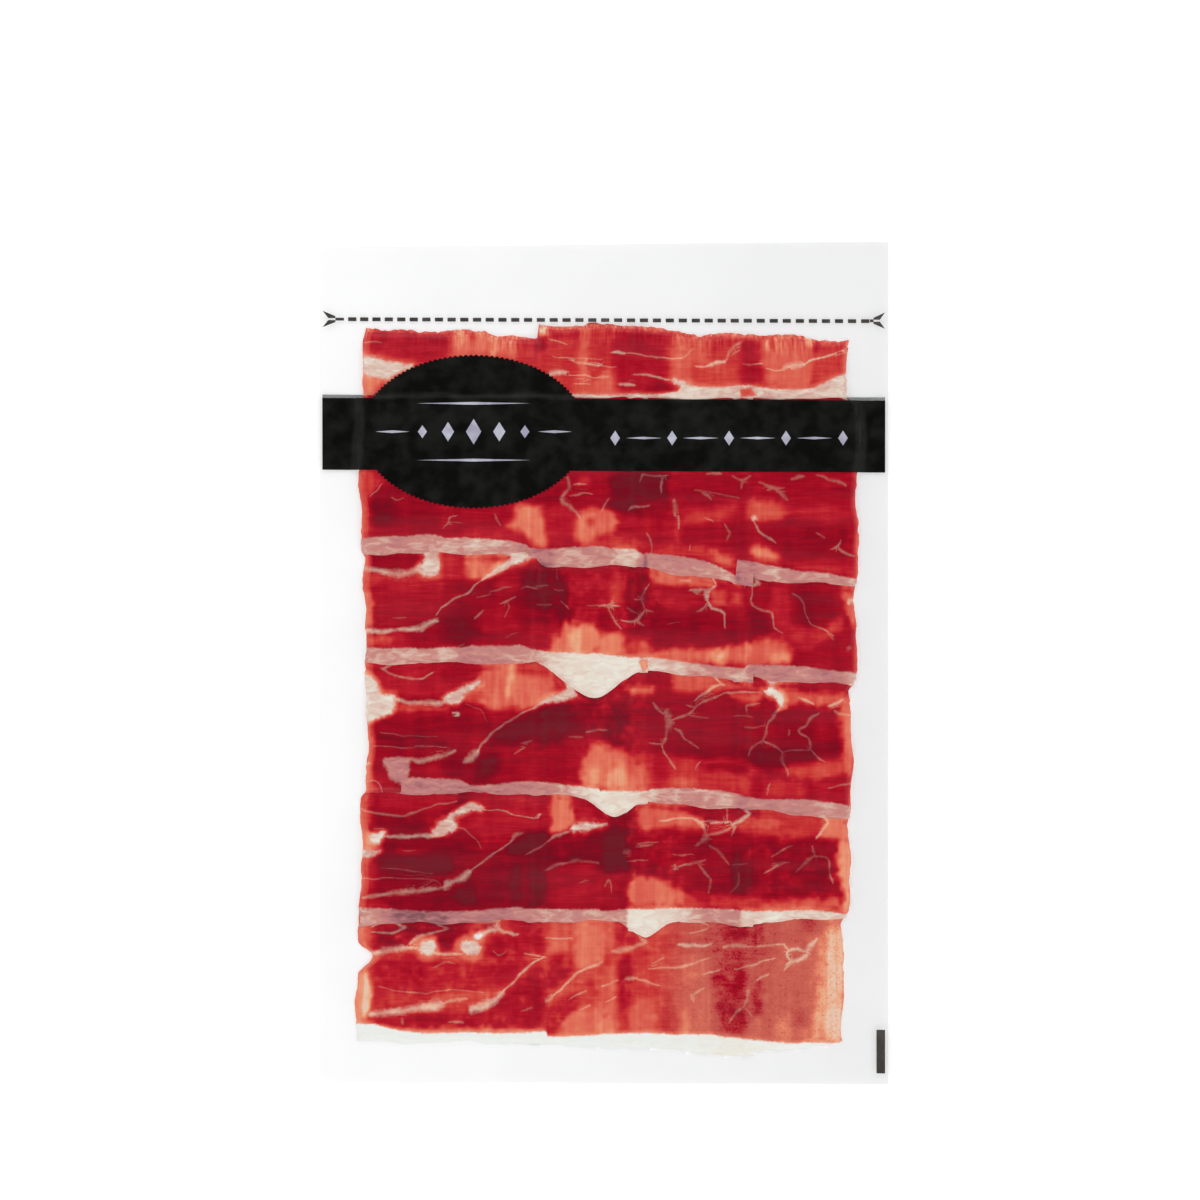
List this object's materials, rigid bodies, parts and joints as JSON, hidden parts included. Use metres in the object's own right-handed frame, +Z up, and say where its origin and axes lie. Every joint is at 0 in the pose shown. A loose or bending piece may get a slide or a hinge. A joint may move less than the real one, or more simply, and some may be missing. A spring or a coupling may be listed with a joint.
{
  "type": "vacuum pack of sliced iberian ham",
  "caption": "Flat clear vacuum pack of thin sliced cured ham laid in shingled rows, with a black printed band, a plain oval badge and a tear line across the top end.",
  "frame": {"origin": "under the middle of the pack, on the surface it lies on", "axes": "+X to the right across the pack, +Y along it towards the end with the tear line, +Z up out of the printed side"},
  "size_m": [0.2, 0.296, 0.0034],
  "materials": {
    "ham_lean": "gloss",
    "ham_fat": "gloss",
    "clear_film": "gloss",
    "black_print": "gloss",
    "grey_print": "satin"
  },
  "bodies": {
    "root": {"sealed_pack": "ham_lean"}
  },
  "joints": []
}
